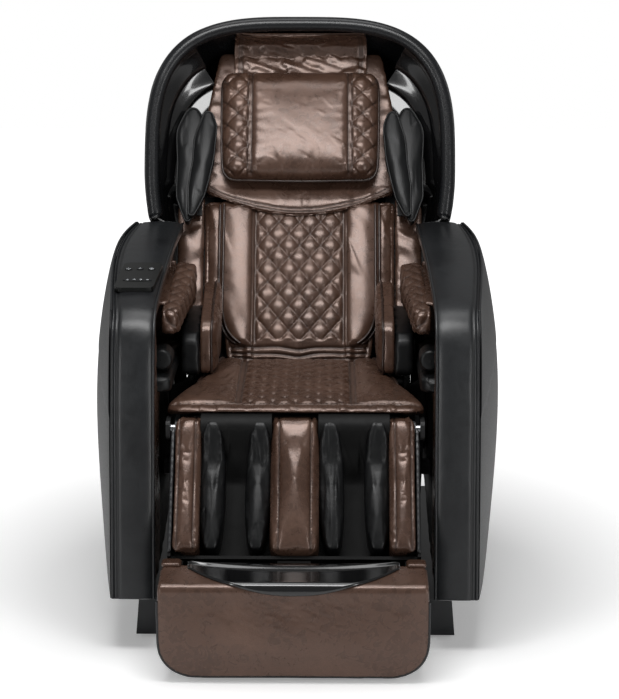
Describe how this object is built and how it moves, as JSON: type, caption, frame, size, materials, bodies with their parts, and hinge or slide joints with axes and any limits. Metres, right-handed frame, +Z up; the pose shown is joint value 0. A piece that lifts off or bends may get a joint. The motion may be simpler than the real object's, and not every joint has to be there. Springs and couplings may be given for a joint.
{
  "type": "massage chair",
  "caption": "Reclining massage chair: padded seat, hooded backrest with head pillow and travelling roller head, air-cushion arms, lifting calf rest and sliding foot unit.",
  "frame": {"origin": "on the floor, under the middle of the chair's outline from the foot panel's face to the hood's back", "axes": "+X across the chair to a sitter's left hand, +Y backwards, +Z up"},
  "size_m": [0.8, 1.1752, 1.116],
  "materials": {
    "frame_steel": "satin dark grey paint",
    "motor_housing": "satin",
    "bright_steel": "ground",
    "arm_panel": "satin",
    "dark_cover": "fine grain",
    "inlet_plastic": "matte",
    "gloss_trim": "high gloss",
    "key_plastic": "gloss",
    "brown_leather": "soft grained",
    "black_leather": "soft grained",
    "grey_fabric": "woven",
    "roller_plastic": "smooth",
    "rubber_foot": "matte",
    "wheel_rubber": "matte"
  },
  "bodies": {
    "base": {"base_frame": "frame_steel", "base_skirt_left": "dark_cover", "base_skirt_right": "dark_cover", "floor_glides": "rubber_foot", "power_box": "dark_cover", "power_inlet": "inlet_plastic", "air_pump": "motor_housing", "glide_actuator": "motor_housing"},
    "wheel_left": {"transport_wheel_left": "wheel_rubber"},
    "wheel_right": {"transport_wheel_right": "wheel_rubber"},
    "switch": {"power_switch": "inlet_plastic"},
    "carriage": {"glide_rod": "bright_steel", "glide_carriage": "frame_steel", "tilt_jack": "motor_housing"},
    "tilt_rod": {"tilt_rod": "bright_steel"},
    "seat": {"seat_frame": "frame_steel", "pivot_pins": "bright_steel", "seat_cushion": "brown_leather", "hip_bolster_left": "brown_leather", "hip_bolster_right": "brown_leather", "arm_shell_left": "arm_panel", "arm_shell_right": "arm_panel", "arm_band_left": "black_leather", "arm_band_right": "black_leather", "arm_pad_left": "brown_leather", "arm_pad_right": "brown_leather", "control_panel": "gloss_trim", "drive_actuators": "motor_housing"},
    "key_left": {"key_left": "key_plastic"},
    "key_middle": {"key_middle": "key_plastic"},
    "key_right": {"key_right": "key_plastic"},
    "key_arc": {"key_arc": "key_plastic"},
    "recline_rod": {"recline_rod": "bright_steel"},
    "leg_rod": {"leg_rod": "bright_steel"},
    "back": {"back_frame": "frame_steel", "back_shell": "dark_cover", "hood_shell": "dark_cover", "hood_rim": "black_leather", "hood_trim_left": "gloss_trim", "hood_trim_right": "gloss_trim", "back_pad": "brown_leather", "back_flap": "brown_leather"},
    "pillow": {"pillow": "brown_leather"},
    "shoulder_left": {"shoulder_pad_left": "black_leather"},
    "shoulder_right": {"shoulder_pad_right": "black_leather"},
    "massage_head": {"massage_carriage": "frame_steel"},
    "knead": {"knead_yoke": "bright_steel"},
    "roller_upper": {"upper_rollers": "roller_plastic"},
    "roller_lower": {"lower_rollers": "roller_plastic"},
    "leg": {"leg_frame": "frame_steel", "calf_shell": "dark_cover", "calf_cushion": "brown_leather", "calf_airbags": "black_leather"},
    "foot": {"foot_shell": "dark_cover", "foot_rods": "bright_steel", "foot_panel": "brown_leather", "foot_trim": "gloss_trim", "foot_airbags": "grey_fabric", "foot_feet": "rubber_foot"},
    "foot_roller": {"foot_roller": "roller_plastic"}
  },
  "joints": [
    {"name": "seat_glide", "type": "slide", "parent": "base", "child": "carriage", "axis": [0, -1, 0], "range_m": [0, 0.13]},
    {"name": "seat_tilt", "type": "hinge", "parent": "carriage", "child": "seat", "pos_m": [0, 0.33237, 0.15], "axis": [-1, 0, 0], "range_deg": [0, 15]},
    {"name": "jack_extend", "type": "slide", "parent": "carriage", "child": "tilt_rod", "axis": [0, 0, 1], "range_m": [0, 0.1192]},
    {"name": "back_recline", "type": "hinge", "parent": "seat", "child": "back", "pos_m": [0, 0.15237, 0.32], "axis": [-1, 0, 0], "range_deg": [0, 50]},
    {"name": "recline_push", "type": "slide", "parent": "seat", "child": "recline_rod", "axis": [0, -1, 0], "range_m": [0, 0.084]},
    {"name": "leg_lift", "type": "hinge", "parent": "seat", "child": "leg", "pos_m": [0, -0.31963, 0.4], "axis": [-1, 0, 0], "range_deg": [0, 60]},
    {"name": "leg_push", "type": "slide", "parent": "seat", "child": "leg_rod", "axis": [0, -1, 0], "range_m": [0, 0.0982]},
    {"name": "foot_extend", "type": "slide", "parent": "leg", "child": "foot", "axis": [0, -0.5934, -0.8049], "range_m": [0, 0.15]},
    {"name": "foot_roller_spin", "type": "hinge", "parent": "foot", "child": "foot_roller", "pos_m": [0, -0.50763, 0.041], "axis": [1, 0, 0], "continuous": true},
    {"name": "pillow_lift", "type": "hinge", "parent": "back", "child": "pillow", "pos_m": [0, 0.44083, 0.98022], "axis": [-1, 0, 0], "range_deg": [0, 60]},
    {"name": "shoulder_press_right", "type": "hinge", "parent": "back", "child": "shoulder_right", "pos_m": [0.25, 0.3336, 0.79849], "axis": [0, 0.5, 0.866], "range_deg": [0, 10]},
    {"name": "shoulder_press_left", "type": "hinge", "parent": "back", "child": "shoulder_left", "pos_m": [-0.25, 0.3336, 0.79849], "axis": [0, -0.5, -0.866], "range_deg": [0, 10]},
    {"name": "head_travel", "type": "slide", "parent": "back", "child": "massage_head", "axis": [0, 0.5, 0.866], "range_m": [0, 0.42]},
    {"name": "knead_tap", "type": "hinge", "parent": "massage_head", "child": "knead", "pos_m": [0, 0.22833, 0.44357], "axis": [1, 0, 0], "range_deg": [-6, 6]},
    {"name": "upper_roller_spin", "type": "hinge", "parent": "knead", "child": "roller_upper", "pos_m": [0, 0.23388, 0.49118], "axis": [1, 0, 0], "continuous": true},
    {"name": "lower_roller_spin", "type": "hinge", "parent": "knead", "child": "roller_lower", "pos_m": [0, 0.18988, 0.41497], "axis": [1, 0, 0], "continuous": true},
    {"name": "wheel_left_spin", "type": "hinge", "parent": "base", "child": "wheel_left", "pos_m": [0, 0.42237, 0.036], "axis": [1, 0, 0], "continuous": true},
    {"name": "wheel_right_spin", "type": "hinge", "parent": "base", "child": "wheel_right", "pos_m": [0, 0.42237, 0.036], "axis": [1, 0, 0], "continuous": true},
    {"name": "switch_rock", "type": "hinge", "parent": "base", "child": "switch", "pos_m": [-0.06, 0.46537, 0.1], "axis": [1, 0, 0], "range_deg": [0, 14]},
    {"name": "key_left_press", "type": "slide", "parent": "seat", "child": "key_left", "axis": [0, 0.1483, -0.9889], "range_m": [0, 0.0007], "stiffness_N_per_m": 600},
    {"name": "key_middle_press", "type": "slide", "parent": "seat", "child": "key_middle", "axis": [0, 0.1483, -0.9889], "range_m": [0, 0.0007], "stiffness_N_per_m": 600},
    {"name": "key_right_press", "type": "slide", "parent": "seat", "child": "key_right", "axis": [0, 0.1483, -0.9889], "range_m": [0, 0.0007], "stiffness_N_per_m": 600},
    {"name": "key_arc_press", "type": "slide", "parent": "seat", "child": "key_arc", "axis": [0, 0.1483, -0.9889], "range_m": [0, 0.0007], "stiffness_N_per_m": 600}
  ],
  "couplings": [
    {"joint": "jack_extend", "follows": "seat_tilt", "m_per_rad": 0.455},
    {"joint": "back_recline", "follows": "seat_glide", "rad_per_m": 6.7128},
    {"joint": "recline_push", "follows": "seat_glide", "ratio": 0.6457},
    {"joint": "leg_push", "follows": "leg_lift", "m_per_rad": 0.09373}
  ]
}
